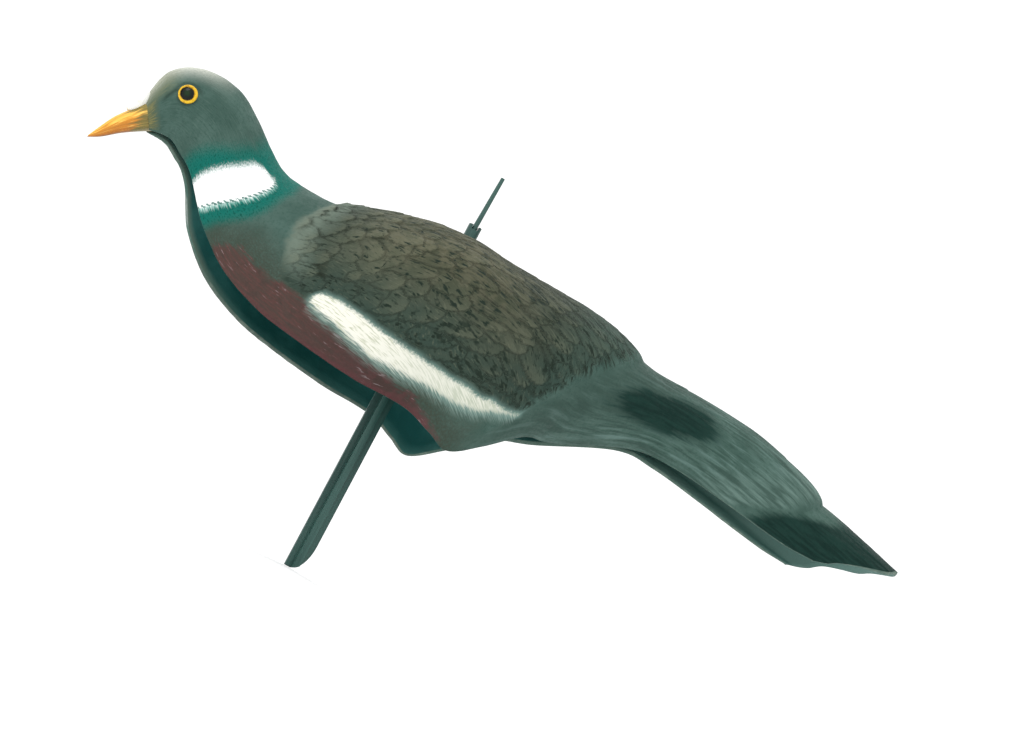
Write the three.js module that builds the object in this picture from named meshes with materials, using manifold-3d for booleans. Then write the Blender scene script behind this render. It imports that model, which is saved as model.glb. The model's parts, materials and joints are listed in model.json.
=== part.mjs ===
// A wood pigeon decoy: a thin moulded shell, open below, that rests on a ground peg.
// Millimetres. +Z runs up the peg, the beak points to -X and the bird's left side to -Y.
// The origin is on the small flat at the peg's foot.
import * as THREE from 'three';
import { mergeVertices } from 'three/addons/utils/BufferGeometryUtils.js';
import Module from 'manifold-3d';

// Driving dimensions of the shell
const bodyLength = 400;        // beak tip to tail tip
const wall = 2;                // thickness of the moulding
const wingStep = 1.2;          // how far the folded wings stand proud of the body
const covertStep = 5.2;        // how far the tail coverts stand proud of the tail
const featherRelief = 1.6;     // height of a carved feather's tip over the next feather
const featherBulgeShare = 0.75;     // roundness of a feather's tip, as a share of the rank spacing
const tailWave = 1.8;          // depth of the notches between the tail feathers' ends
const tailFeathers = 4;        // notches from the ridge to each lower edge
const eyeDiameter = 8.8;
const eyeProud = 1.2;          // height of the eye's dome

// Driving dimensions of the peg
const stakeLength = 156.8;     // foot to the shoulder that carries the shell
const stakeAcross = 8.8;       // tip to tip of the fins
const finThickness = 2.8;
const footFlat = 2.4;          // width of the flat at the foot
const toeHeight = 13;          // height of the rounded toe beside that flat
const collarDiameter = 6;
const collarProud = 6;         // collar and horns above the bird's back
const hornHeight = 2;          // the two small horns on top of the collar
const hornThickness = 1.5;
const pinLength = 26;          // above the floor between the horns
const pinRoot = 2.4;
const pinTip = 1.8;
const pinLean = 1.9;           // degrees towards the tail

// Fits
const holeClearance = 0.3;     // all round the collar
const seatGap = 0.3;           // between the shoulder and the back over it

// Stations of the shell, front to back, as shares of bodyLength from the peg hole in the back.
// ridge: a point of the back line; rim: the point of the lower edge that its rib runs down to;
// half: greatest half width; low: half width at the lower edge; waist: height of the
// greatest width as a share of the rib; crown: fullness of the rib above it.
const stations = [
  { ridge: [-0.3740, -0.0440], rim: [-0.3560, -0.0685], half: 0.0175, low: 0.0120, waist: 0.45, crown: 0.10 },
  { ridge: [-0.3735, -0.0260], rim: [-0.3450, -0.0670], half: 0.0275, low: 0.0200, waist: 0.50, crown: 0.10 },
  { ridge: [-0.3665, -0.0022], rim: [-0.3352, -0.0670], half: 0.0355, low: 0.0240, waist: 0.50, crown: 0.08 },
  { ridge: [-0.3460, 0.0148], rim: [-0.3270, -0.0697], half: 0.0405, low: 0.0255, waist: 0.50, crown: 0.06 },
  { ridge: [-0.3168, 0.0208], rim: [-0.3175, -0.0757], half: 0.0425, low: 0.0250, waist: 0.48, crown: 0.05 },
  { ridge: [-0.2868, 0.0158], rim: [-0.3058, -0.0858], half: 0.0430, low: 0.0260, waist: 0.46, crown: 0.04 },
  { ridge: [-0.2592, -0.0008], rim: [-0.2933, -0.0990], half: 0.0450, low: 0.0320, waist: 0.45, crown: 0.02 },
  { ridge: [-0.2325, -0.0212], rim: [-0.2800, -0.1165], half: 0.0540, low: 0.0480, waist: 0.44, crown: 0.00 },
  { ridge: [-0.2080, -0.0362], rim: [-0.2610, -0.1380], half: 0.0700, low: 0.0590, waist: 0.42, crown: 0.00 },
  { ridge: [-0.1780, -0.0410], rim: [-0.2223, -0.1667], half: 0.0950, low: 0.0725, waist: 0.42, crown: 0.05 },
  { ridge: [-0.1400, -0.0397], rim: [-0.1728, -0.1880], half: 0.1200, low: 0.0830, waist: 0.42, crown: 0.10 },
  { ridge: [-0.0985, -0.0262], rim: [-0.1218, -0.1975], half: 0.1370, low: 0.0920, waist: 0.43, crown: 0.12 },
  { ridge: [-0.0475, -0.0110], rim: [-0.0528, -0.2048], half: 0.1450, low: 0.0980, waist: 0.44, crown: 0.12 },
  { ridge: [0.0000, -0.0046], rim: [0.0060, -0.2060], half: 0.1460, low: 0.1080, waist: 0.44, crown: 0.12 },
  { ridge: [0.0395, -0.0065], rim: [0.0413, -0.2170], half: 0.1440, low: 0.1150, waist: 0.44, crown: 0.12 },
  { ridge: [0.0700, -0.0070], rim: [0.0680, -0.2255], half: 0.1400, low: 0.1170, waist: 0.44, crown: 0.11 },
  { ridge: [0.1050, -0.0085], rim: [0.1000, -0.2030], half: 0.1320, low: 0.1080, waist: 0.43, crown: 0.09 },
  { ridge: [0.1473, -0.0110], rim: [0.1360, -0.1665], half: 0.1180, low: 0.0950, waist: 0.42, crown: 0.07 },
  { ridge: [0.1905, -0.0170], rim: [0.1873, -0.1415], half: 0.0980, low: 0.0730, waist: 0.42, crown: 0.05 },
  { ridge: [0.2435, -0.0305], rim: [0.2493, -0.1195], half: 0.0740, low: 0.0480, waist: 0.42, crown: 0.03 },
  { ridge: [0.3020, -0.0325], rim: [0.3078, -0.1170], half: 0.0620, low: 0.0380, waist: 0.42, crown: 0.00 },
  { ridge: [0.3700, -0.0430], rim: [0.3690, -0.1255], half: 0.0600, low: 0.0390, waist: 0.40, crown: 0.00 },
  { ridge: [0.4350, -0.0590], rim: [0.4205, -0.1335], half: 0.0620, low: 0.0450, waist: 0.38, crown: 0.00 },
  { ridge: [0.5060, -0.0720], rim: [0.4600, -0.1410], half: 0.0640, low: 0.0540, waist: 0.34, crown: 0.00 },
  { ridge: [0.5895, -0.0925], rim: [0.4820, -0.1415], half: 0.0650, low: 0.0600, waist: 0.28, crown: 0.30 },
];
const underWaistShare = 0.28;       // share of a rib's steps that lie under its greatest width

// Where things lie on the skin. u runs from 0 at the beak's base to 1 at the tail's end, and
// the height v from 0 at the ridge to 1 at the lower edge, the same on both sides.
const wingFrontShares = [0.413, 0.403, 0.388, 0.393, 0.410, 0.440];   // u at v = 0, 0.2, 0.4 ... 1
const wingRearShares = [0.778, 0.775, 0.766, 0.750, 0.722, 0.670];
const wingFootShare = 0.93;         // v of the wing's lower edge
const covertStartShare = 0.79;
const covertRearShares = [0.951, 0.949, 0.944, 0.934, 0.915, 0.886];
const eyeShares = [0.121, 0.623];
const hollowStartShare = 0.03;      // the shell is solid in front of this
const massEdgeShare = 0.014;        // run over which the wings rise from the body
const featherEdgeShare = 0.02;      // run over which the carving fades at the wing's ends
const covertFullShare = 0.9;        // the tail coverts are at their full height from here
const notchStartShare = 0.955;       // the tail's end is notched behind this
const hollowFollowShare = 0.8;      // share of the wings' and coverts' height that the hollow follows

// The beak, as shares of bodyLength: its upper and lower line from base to tip, and half widths.
const beakUpperShares = [
  [-0.3712, -0.0415], [-0.382, -0.055], [-0.396, -0.072], [-0.405, -0.089], [-0.4088, -0.1025],
];
const beakLowerShares = [
  [-0.3530, -0.0660], [-0.366, -0.0745], [-0.381, -0.085], [-0.396, -0.0975], [-0.4088, -0.1050],
];
const beakHalfShares = [0.0165, 0.0125, 0.0090, 0.0055, 0.0015];
const cereMiddleShares = [-0.3778, -0.0470];
const cereHalfShares = [0.0150, 0.0085, 0.0085];   // half sizes along the beak, across it and up
const cereOutShare = 0.0045;        // each lobe's middle from the centre plane
const cereTilt = -51;          // degrees, the slope of the beak's upper line

// Mesh resolution
const headColumns = 20;
const wingColumns = 44;
const tailColumns = 14;
const wingMeshStartShare = 0.39;
const wingMeshEndShare = 0.79;
const outerRows = 40;
const innerColumns = 34;
const innerRows = 18;
const featherColumns = 3;      // columns of the mesh from one rank of feathers to the next
const featherRows = 4;         // rows of the mesh across one feather
const roundSides = 24;
const eyeSides = 16;
const eyeSteps = 3;
const lobeSides = 10;
const pinSides = 12;
const toeSteps = 8;
const beakRings = 7;
const beakSides = 12;

const wasm = await Module();
wasm.setup();

// Turns a closed three.js geometry into a solid that can be cut and joined.
function toSolid(geometry) {
  const bare = geometry.clone();
  bare.deleteAttribute('normal');
  bare.deleteAttribute('uv');
  const merged = mergeVertices(bare, 1e-4);
  return new wasm.Manifold(new wasm.Mesh({
    numProp: 3,
    vertProperties: new Float32Array(merged.attributes.position.array),
    triVerts: new Uint32Array(merged.index.array),
  }));
}

// Turns a solid back into a three.js geometry.
function toGeometry(solid) {
  const mesh = solid.getMesh();
  const geometry = new THREE.BufferGeometry();
  geometry.setAttribute('position', new THREE.BufferAttribute(new Float32Array(mesh.vertProperties), 3));
  geometry.setIndex(new THREE.BufferAttribute(new Uint32Array(mesh.triVerts), 1));
  geometry.computeVertexNormals();
  return geometry;
}

// A smooth curve through four values, at share f of the way from b to c.
function smooth(a, b, c, d, f) {
  return b + 0.5 * f * (c - a + f * (2 * a - 5 * b + 4 * c - d + f * (3 * (b - c) + d - a)));
}

// The four neighbours of share x along a list, and how far x is between the middle two.
function around(list, x) {
  const last = list.length - 1;
  const k = Math.max(0, Math.min(Math.floor(x * last), last - 1));
  const near = [-1, 0, 1, 2].map((shift) => list[Math.max(0, Math.min(last, k + shift))]);
  return { near, f: x * last - k };
}

function along(list, x) {
  const { near, f } = around(list, x);
  return smooth(...near, f);
}

// Rises smoothly from 0 at a to 1 at b.
function step(a, b, x) {
  const t = Math.max(0, Math.min(1, (x - a) / (b - a)));
  return t * t * (3 - 2 * t);
}

// A point of the plain skin. side runs from -1 at the left lower edge over 0 at the ridge to 1.
function skinPoint(u, side) {
  const { near, f } = around(stations, u);
  const mix = (read) => smooth(...near.map(read), f);
  const half = mix((s) => s.half);
  const rimHalf = mix((s) => s.low);
  const waist = mix((s) => s.waist);
  const crown = mix((s) => s.crown);
  const t = 1 - Math.abs(side);
  let y;
  let rise;
  if (t < underWaistShare) {
    const q = t / underWaistShare;
    y = half - (half - rimHalf) * (1 - q) ** 2;
    rise = waist * q;
  } else {
    const angle = (t - underWaistShare) / (1 - underWaistShare) * Math.PI / 2;
    y = half * Math.cos(angle) * (1 + crown * Math.sin(angle) ** 2);
    rise = waist + (1 - waist) * Math.sin(angle);
  }
  const between = (axis) => {
    const low = mix((s) => s.rim[axis]);
    return low + (mix((s) => s.ridge[axis]) - low) * rise;
  };
  return new THREE.Vector3(between(0), Math.sign(side) * y, between(1)).multiplyScalar(bodyLength);
}

// The outward normal of the plain skin.
function skinNormal(u, side) {
  const du = 0.004;
  const dv = 0.01;
  const lengthways = skinPoint(Math.min(1, u + du), side).sub(skinPoint(Math.max(0, u - du), side));
  const across = skinPoint(u, Math.min(1, side + dv)).sub(skinPoint(u, Math.max(-1, side - dv)));
  return lengthways.cross(across).normalize();
}

// 1 between the front and the rear line of the folded wing, falling to 0 over a run at each.
function onWing(run, u, v) {
  return step(0, run, u - along(wingFrontShares, v)) * step(0, run, along(wingRearShares, v) - u);
}

// How far the folded wings and the tail coverts stand proud at a place, in millimetres.
function massHeight(u, v) {
  const wing = onWing(massEdgeShare, u, v) * step(0, 1 - wingFootShare, 1 - v);
  const covertEnd = step(0, 2 * massEdgeShare, along(covertRearShares, v) - u);
  const swell = step(covertStartShare, covertFullShare, u) * covertEnd;
  return wingStep * wing + covertStep * swell * Math.cos(v * Math.PI / 2);
}

// Carved feathers, laid like shingles: each rises to its tip and then drops to the next.
function featherHeight(column, row, u, v) {
  const foot = 1 - wingFootShare;
  const inWing = onWing(featherEdgeShare, u, v) * step(foot / 2, 3 * foot, 1 - v);
  const ahead = column / featherColumns;
  const beside = row / featherRows;
  let rank = Math.floor(ahead) - 2;
  let tip;
  do {
    rank += 1;
    const middle = rank % 2 === 0 ? 0 : 0.5;
    const off = beside - middle - Math.round(beside - middle);
    tip = rank + 1 + featherBulgeShare * Math.cos(Math.PI * off);
  } while (ahead >= tip);
  return featherRelief * inWing * Math.max(0, 1 - (tip - ahead) / (1 + featherBulgeShare));
}

// The notched end of the tail: how far a feather's end reaches past the plain end.
function tailReach(u, v) {
  const notch = 1 - Math.abs(Math.cos(v * tailFeathers * Math.PI));
  return -tailWave * step(notchStartShare, 1, u) * notch * step(0, 0.5 / tailFeathers, v);
}

// A closed body from rows of points that each run from one lower edge to the other.
function closedLoft(rows) {
  const positions = [];
  const indices = [];
  const across = rows[0].length;
  rows.forEach((row) => row.forEach((p) => positions.push(p.x, p.y, p.z)));
  const at = (i, j) => i * across + j;
  for (let i = 0; i + 1 < rows.length; i += 1) {
    for (let j = 0; j < across; j += 1) {
      const next = (j + 1) % across;
      indices.push(at(i, j), at(i + 1, j), at(i + 1, next));
      indices.push(at(i, j), at(i + 1, next), at(i, next));
    }
  }
  const addCap = (i, flip) => {
    for (let j = 0; 2 * j < across - 2; j += 1) {
      const quad = [at(i, j), at(i, j + 1), at(i, across - 2 - j), at(i, across - 1 - j)];
      [[0, 1, 2], [0, 2, 3]].forEach((face) => {
        const corners = face.map((c) => quad[c]);
        if (new Set(corners).size === 3) {
          indices.push(...(flip ? corners.reverse() : corners));
        }
      });
    }
  };
  addCap(0, false);
  addCap(rows.length - 1, true);
  const geometry = new THREE.BufferGeometry();
  geometry.setAttribute('position', new THREE.Float32BufferAttribute(positions, 3));
  geometry.setIndex(indices);
  return geometry;
}

// Where each column of the outer mesh lies along the bird, with most of them on the wings.
function columnPlaces() {
  const places = [0];
  const spread = (from, to, count) => {
    for (let i = 1; i <= count; i += 1) places.push(from + (to - from) * i / count);
  };
  spread(0, wingMeshStartShare, headColumns);
  spread(wingMeshStartShare, wingMeshEndShare, wingColumns);
  spread(wingMeshEndShare, 1, tailColumns);
  return places;
}

// The outer form of the shell, still filled in below.
function outerBody() {
  const tailward = skinPoint(1, 0).sub(skinPoint(0.97, 0)).normalize();
  const rows = columnPlaces().map((u, i) => {
    const row = [];
    for (let j = 0; j <= outerRows; j += 1) {
      const side = -1 + 2 * j / outerRows;
      const v = Math.abs(side);
      const proud = massHeight(u, v) + featherHeight(i - headColumns, j - outerRows / 2, u, v);
      const point = skinPoint(u, side).addScaledVector(skinNormal(u, side), proud);
      row.push(point.addScaledVector(tailward, tailReach(u, v)));
    }
    return row;
  });
  return toSolid(closedLoft(rows));
}

// The hollow inside the wall, carried on past the lower edge and the tail's end.
function cavity() {
  const below = 6 * wall;
  const tailward = skinPoint(1, 0).sub(skinPoint(0.97, 0)).normalize();
  const inner = (u, side) => {
    const drop = -wall + hollowFollowShare * massHeight(u, Math.abs(side));
    return skinPoint(u, side).addScaledVector(skinNormal(u, side), drop);
  };
  const rows = [];
  for (let i = 0; i <= innerColumns; i += 1) {
    const u = hollowStartShare + (1 - hollowStartShare) * i / innerColumns;
    const row = [];
    for (let j = 0; j <= innerRows; j += 1) row.push(inner(u, -1 + 2 * j / innerRows));
    const down = skinPoint(u, -1).sub(skinPoint(u, 0)).setY(0).normalize().multiplyScalar(below);
    row.unshift(row[0].clone().add(down));
    row.push(row[row.length - 1].clone().add(down));
    rows.push(row);
  }
  rows.push(rows[rows.length - 1].map((p) => p.clone().addScaledVector(tailward, below)));
  return toSolid(closedLoft(rows));
}

// The solid beak: rings between its upper and lower line, laid from the tip to the base.
function beak() {
  const rows = [];
  for (let i = 0; i <= beakRings; i += 1) {
    const x = i / beakRings;
    const at = (list, axis) => along(list.map((p) => p[axis]), x) * bodyLength;
    const top = new THREE.Vector3(at(beakUpperShares, 0), 0, at(beakUpperShares, 1));
    const low = new THREE.Vector3(at(beakLowerShares, 0), 0, at(beakLowerShares, 1));
    const middle = top.clone().add(low).multiplyScalar(0.5);
    const up = top.clone().sub(low).multiplyScalar(0.5);
    const out = along(beakHalfShares, x) * bodyLength;
    const row = [];
    for (let j = 0; j < beakSides; j += 1) {
      const angle = -Math.PI / 2 + Math.PI / beakSides + 2 * Math.PI * j / beakSides;
      row.push(middle.clone().addScaledVector(up, Math.sin(angle)).setY(-out * Math.cos(angle)));
    }
    rows.unshift(row);
  }
  return toSolid(closedLoft(rows));
}

// One of the two lobes of the cere, which lie side by side over the beak's base.
function cereLobe(sign) {
  const geometry = new THREE.SphereGeometry(1, lobeSides, 6);
  geometry.scale(...cereHalfShares.map((size) => size * bodyLength));
  geometry.rotateY(THREE.MathUtils.degToRad(cereTilt));
  const [ahead, up] = cereMiddleShares.map((share) => share * bodyLength);
  geometry.translate(ahead, sign * cereOutShare * bodyLength, up);
  return toSolid(geometry);
}

// The domed eye on one side of the head.
function eye(sign) {
  const [u, v] = eyeShares;
  const out = skinNormal(u, sign * v);
  const profile = [new THREE.Vector2(0, -wall / 2)];
  for (let i = 0; i <= eyeSteps; i += 1) {
    const angle = i / eyeSteps * Math.PI / 2;
    profile.push(new THREE.Vector2(eyeDiameter / 2 * Math.cos(angle), eyeProud * Math.sin(angle)));
  }
  profile.splice(1, 0, new THREE.Vector2(eyeDiameter / 2, -wall / 2));
  profile[profile.length - 1].x = 0;
  const geometry = new THREE.LatheGeometry(profile, eyeSides);
  geometry.applyQuaternion(new THREE.Quaternion().setFromUnitVectors(new THREE.Vector3(0, 1, 0), out));
  const middle = skinPoint(u, sign * v);
  geometry.translate(middle.x, middle.y, middle.z);
  return toSolid(geometry);
}

// A round post along Z between two heights.
function post(bottomRadius, topRadius, low, high, sides) {
  const geometry = new THREE.CylinderGeometry(topRadius, bottomRadius, high - low, sides);
  geometry.rotateX(Math.PI / 2);
  geometry.translate(0, 0, (low + high) / 2);
  return geometry;
}

// The whole bird, with the top of its back over the peg hole at zero.
function makeShell() {
  const holeRadius = collarDiameter / 2 + holeClearance;
  const reach = bodyLength / 10;
  const hole = toSolid(post(holeRadius, holeRadius, -reach, reach, roundSides));
  let bird = outerBody().subtract(cavity()).add(beak());
  [-1, 1].forEach((sign) => {
    bird = bird.add(cereLobe(sign)).add(eye(sign));
  });
  return bird.subtract(hole);
}

// The lowest point of the back over the stake, below the top of the back.
function backOverStake(bird) {
  const reach = bodyLength / 10;
  const column = toSolid(post(stakeAcross / 2, stakeAcross / 2, -reach, reach, roundSides));
  const { vertProperties } = bird.intersect(column).getMesh();
  return vertProperties.reduce((low, value, k) => (k % 3 === 2 ? Math.min(low, value) : low), Infinity);
}

// The stake: two crossed fins, with a flat and a rounded toe at the foot.
function stake() {
  const half = stakeAcross / 2;
  const fin = finThickness / 2;
  const cross = new THREE.Shape();
  cross.moveTo(-half, -fin);
  [[-fin, -fin], [-fin, -half], [fin, -half], [fin, -fin], [half, -fin], [half, fin], [fin, fin], [fin, half],
    [-fin, half], [-fin, fin], [-half, fin]].forEach(([x, y]) => cross.lineTo(x, y));
  const bar = new THREE.ExtrudeGeometry(cross, { depth: stakeLength, bevelEnabled: false });
  const side = new THREE.Shape();
  const clear = 1;
  side.moveTo(-half - clear, 0);
  side.lineTo(-half + footFlat, 0);
  side.absellipse(-half + footFlat, toeHeight, stakeAcross - footFlat, toeHeight, -Math.PI / 2, 0, false);
  side.lineTo(half + clear, toeHeight);
  side.lineTo(half + clear, stakeLength + clear);
  side.lineTo(-half - clear, stakeLength + clear);
  const thick = { depth: 2 * stakeAcross, bevelEnabled: false, curveSegments: toeSteps };
  const outline = new THREE.ExtrudeGeometry(side, thick);
  outline.rotateX(Math.PI / 2);
  outline.translate(0, stakeAcross, 0);
  return toSolid(bar).intersect(toSolid(outline));
}

// The peg, with its axis at x = 0.
function makePeg(backTop) {
  const collarTop = backTop + collarProud;
  const slotFloor = collarTop - hornHeight;
  const radius = collarDiameter / 2;
  const collar = toSolid(post(radius, radius, stakeLength - finThickness, collarTop, roundSides));
  const slot = new THREE.BoxGeometry(collarDiameter - 2 * hornThickness, 2 * collarDiameter, 2 * hornHeight);
  slot.translate(0, 0, collarTop);
  const pin = post(pinRoot / 2, pinTip / 2, -hornHeight, pinLength, pinSides);
  pin.rotateY(THREE.MathUtils.degToRad(pinLean));
  pin.translate(0, 0, slotFloor);
  return stake().add(collar.subtract(toSolid(slot))).add(toSolid(pin));
}

const plastic = (color, roughness) => new THREE.MeshStandardMaterial({ color, roughness, metalness: 0 });

const bird = makeShell();
const backTop = stakeLength + seatGap - backOverStake(bird);
const pegAxis = (stakeAcross - footFlat) / 2;

const shell = new THREE.Mesh(toGeometry(bird), plastic(0x57625a, 0.6));
shell.name = 'shell';
shell.position.set(pegAxis, 0, backTop);

const peg = new THREE.Mesh(toGeometry(makePeg(backTop)), plastic(0x244c48, 0.5));
peg.name = 'peg';
peg.position.set(pegAxis, 0, 0);

const decoy = new THREE.Group();
decoy.add(shell, peg);

export default decoy;
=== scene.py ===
# %% [markdown]
# # A painted wood pigeon decoy
# The real thing is a thin plastic shell, moulded with feathers, painted by hand and airbrush, and
# carried on a dark green ground peg. The measured frame already holds both solids, so this lesson
# makes the fine surface over them: first the camera, then the skin as one function of two numbers,
# then the feathers, the paint, and the small pieces of the head.

# %% Load the frame
import json

import bmesh
import bpy
import numpy as np
from mathutils import Matrix, Vector

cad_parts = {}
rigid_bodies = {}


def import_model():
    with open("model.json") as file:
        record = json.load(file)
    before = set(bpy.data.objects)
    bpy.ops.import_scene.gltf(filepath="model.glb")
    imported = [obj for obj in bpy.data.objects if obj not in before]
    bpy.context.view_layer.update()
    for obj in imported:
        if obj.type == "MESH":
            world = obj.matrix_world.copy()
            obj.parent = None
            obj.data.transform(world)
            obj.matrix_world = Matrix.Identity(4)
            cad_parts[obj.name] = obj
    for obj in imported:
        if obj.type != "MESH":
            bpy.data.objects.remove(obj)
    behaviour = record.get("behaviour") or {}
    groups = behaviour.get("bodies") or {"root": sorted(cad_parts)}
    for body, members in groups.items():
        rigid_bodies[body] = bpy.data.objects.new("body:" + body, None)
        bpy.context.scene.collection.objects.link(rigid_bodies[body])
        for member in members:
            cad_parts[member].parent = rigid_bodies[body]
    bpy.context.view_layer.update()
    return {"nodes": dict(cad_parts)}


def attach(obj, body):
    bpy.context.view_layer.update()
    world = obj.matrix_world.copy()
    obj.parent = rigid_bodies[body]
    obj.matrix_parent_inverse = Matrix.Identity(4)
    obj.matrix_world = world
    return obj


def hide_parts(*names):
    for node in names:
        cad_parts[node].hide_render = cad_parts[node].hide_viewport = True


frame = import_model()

# %% [markdown]
# ## Camera
# The decoy is shown tipped back by 28 degrees, seen from its left side and a little from the front.
# The part itself stands upright on its peg, so the camera is rolled instead of the bird. Its three
# axes are worked out from yaw, pitch and roll, and a long lens keeps the shape almost flat.

# %% Camera
MM = 0.001
LENS = 135.0
YAW, PITCH, ROLL = np.radians([12.0, 2.5, 28.2])
AIM = np.array([46.04, 0.0, 120.59]) * MM
DISTANCE = 1.6501


def camera_axes(yaw, pitch, roll):
    """Right, up and forward. The level axes of a view turned by yaw are tipped by pitch, all in a
    frame that is rolled, and right is the cross product of forward and up."""
    level_up = np.array([-np.sin(roll), 0.0, np.cos(roll)])
    level_ahead = np.array([np.cos(roll) * np.sin(yaw), np.cos(yaw), np.sin(roll) * np.sin(yaw)])
    up = np.cos(pitch) * level_up - np.sin(pitch) * level_ahead
    ahead = np.cos(pitch) * level_ahead + np.sin(pitch) * level_up
    return np.cross(ahead, up), up, ahead


def put(name, data):
    """A new object in the scene that shows the given data."""
    placed = bpy.data.objects.new(name, data)
    bpy.context.scene.collection.objects.link(placed)
    return placed


right, up, ahead = camera_axes(YAW, PITCH, ROLL)
camera = put("camera", bpy.data.cameras.new("camera"))
camera.data.lens = LENS
camera.data.clip_start, camera.data.clip_end = 0.1, 20.0
turn = Matrix(np.column_stack([right, up, -ahead]).tolist()).to_4x4()
camera.matrix_world = Matrix.Translation(Vector(AIM - DISTANCE * ahead)) @ turn
bpy.context.scene.camera = camera
print("camera at", [round(x, 3) for x in camera.location])

# %% [markdown]
# ## The plain skin
# A bird's body is a loft: ribs that run from the back line down to the lower edge. Each rib is
# told by eight numbers at a station, and a smooth curve carries them from station to station. So
# every point of the skin is a function of u, along the bird, and side, from -1 at the left edge
# over 0 on the back to 1 at the right edge. Arrays make all the points at once.

# %% Stations
LENGTH = 0.400
PEG_AXIS = 3.2 * MM
BACK_TOP = 160.604 * MM
WALL = 2.0 * MM
UNDER_WAIST = 0.28
# shares of the length from the peg hole: ridge x z, rim x z, half width, half width at the rim;
# then the height of the greatest width as a share of the rib, and the fullness above it
STATIONS = np.array([
    [-0.3740, -0.0440, -0.3560, -0.0685, 0.0175, 0.0120, 0.45, 0.10],
    [-0.3735, -0.0260, -0.3450, -0.0670, 0.0275, 0.0200, 0.50, 0.10],
    [-0.3665, -0.0022, -0.3352, -0.0670, 0.0355, 0.0240, 0.50, 0.08],
    [-0.3460, 0.0148, -0.3270, -0.0697, 0.0405, 0.0255, 0.50, 0.06],
    [-0.3168, 0.0208, -0.3175, -0.0757, 0.0425, 0.0250, 0.48, 0.05],
    [-0.2868, 0.0158, -0.3047, -0.0832, 0.0430, 0.0276, 0.46, 0.04],
    [-0.2592, -0.0008, -0.2910, -0.0975, 0.0450, 0.0340, 0.45, 0.02],
    [-0.2325, -0.0212, -0.2788, -0.1150, 0.0540, 0.0483, 0.44, 0.00],
    [-0.2080, -0.0362, -0.2613, -0.1367, 0.0700, 0.0620, 0.42, 0.00],
    [-0.1780, -0.0410, -0.2230, -0.1675, 0.0950, 0.0725, 0.42, 0.05],
    [-0.1400, -0.0397, -0.1728, -0.1880, 0.1200, 0.0830, 0.42, 0.10],
    [-0.0985, -0.0262, -0.1218, -0.1975, 0.1370, 0.0920, 0.43, 0.12],
    [-0.0475, -0.0110, -0.0528, -0.2048, 0.1450, 0.0980, 0.44, 0.12],
    [0.0000, -0.0046, 0.0060, -0.2060, 0.1460, 0.1080, 0.44, 0.12],
    [0.0395, -0.0065, 0.0413, -0.2170, 0.1440, 0.1150, 0.44, 0.12],
    [0.0700, -0.0070, 0.0680, -0.2255, 0.1400, 0.1170, 0.44, 0.11],
    [0.1050, -0.0085, 0.1000, -0.2030, 0.1320, 0.1080, 0.43, 0.09],
    [0.1473, -0.0110, 0.1400, -0.1690, 0.1180, 0.0820, 0.42, 0.07],
    [0.1905, -0.0170, 0.1760, -0.1560, 0.0980, 0.0450, 0.42, 0.05],
    [0.2435, -0.0285, 0.2560, -0.1195, 0.0740, 0.0315, 0.42, 0.03],
    [0.3020, -0.0325, 0.3055, -0.1158, 0.0620, 0.0440, 0.42, 0.00],
    [0.3700, -0.0430, 0.3683, -0.1221, 0.0600, 0.0520, 0.40, 0.00],
    [0.4350, -0.0590, 0.4213, -0.1291, 0.0620, 0.0560, 0.38, 0.00],
    [0.5060, -0.0720, 0.4621, -0.1337, 0.0640, 0.0595, 0.34, 0.00],
    [0.5895, -0.0925, 0.4950, -0.1355, 0.0650, 0.0630, 0.28, 0.30],
])
print(len(STATIONS), "stations with", STATIONS.shape[1], "numbers each")


# %% The skin between the stations
def smooth_row(rows, share):
    """The smooth curve through rows (Catmull-Rom): a cubic between the two rows nearest to share."""
    last = len(rows) - 1
    place = np.asarray(share, float) * last
    k = np.clip(np.floor(place).astype(int), 0, last - 1)
    f = place - k
    f = f.reshape(f.shape + (1,) * (rows.ndim - 1))
    a, b, c, d = (rows[np.clip(k + shift, 0, last)] for shift in (-1, 0, 1, 2))
    return b + 0.5 * f * (c - a + f * (2 * a - 5 * b + 4 * c - d + f * (3 * (b - c) + d - a)))


def skin(u, side):
    """Below the waist a parabola in the rise, above it a quarter ellipse swollen by the crown."""
    s = smooth_row(STATIONS, u)
    ridge, rim = s[..., 0:2], s[..., 2:4]
    half, rim_half, waist, crown = (s[..., i] for i in range(4, 8))
    t = 1 - np.abs(side)
    q = np.clip(t / UNDER_WAIST, 0, 1)
    angle = np.clip((t - UNDER_WAIST) / (1 - UNDER_WAIST), 0, 1) * np.pi / 2
    low = t < UNDER_WAIST
    y = np.where(low, half - (half - rim_half) * (1 - q) ** 2,
                 half * np.cos(angle) * (1 + crown * np.sin(angle) ** 2))
    rise = np.where(low, waist * q, waist + (1 - waist) * np.sin(angle))
    xz = rim + (ridge - rim) * rise[..., None]
    points = np.stack([xz[..., 0], np.sign(side) * y, xz[..., 1]], -1) * LENGTH
    return points + np.array([PEG_AXIS, 0, BACK_TOP])


def skin_normal(u, side, du=0.004, dv=0.01):
    """The cross product of a small step along the bird and a small step across it."""
    lengthways = skin(np.minimum(1, u + du), side) - skin(np.maximum(0, u - du), side)
    across = skin(u, np.minimum(1, side + dv)) - skin(u, np.maximum(-1, side - dv))
    normal = np.cross(lengthways, across)
    return normal / np.linalg.norm(normal, axis=-1, keepdims=True)


print("the back ends at", np.round(skin(1.0, 0.0) / MM, 1), "mm")

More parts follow.
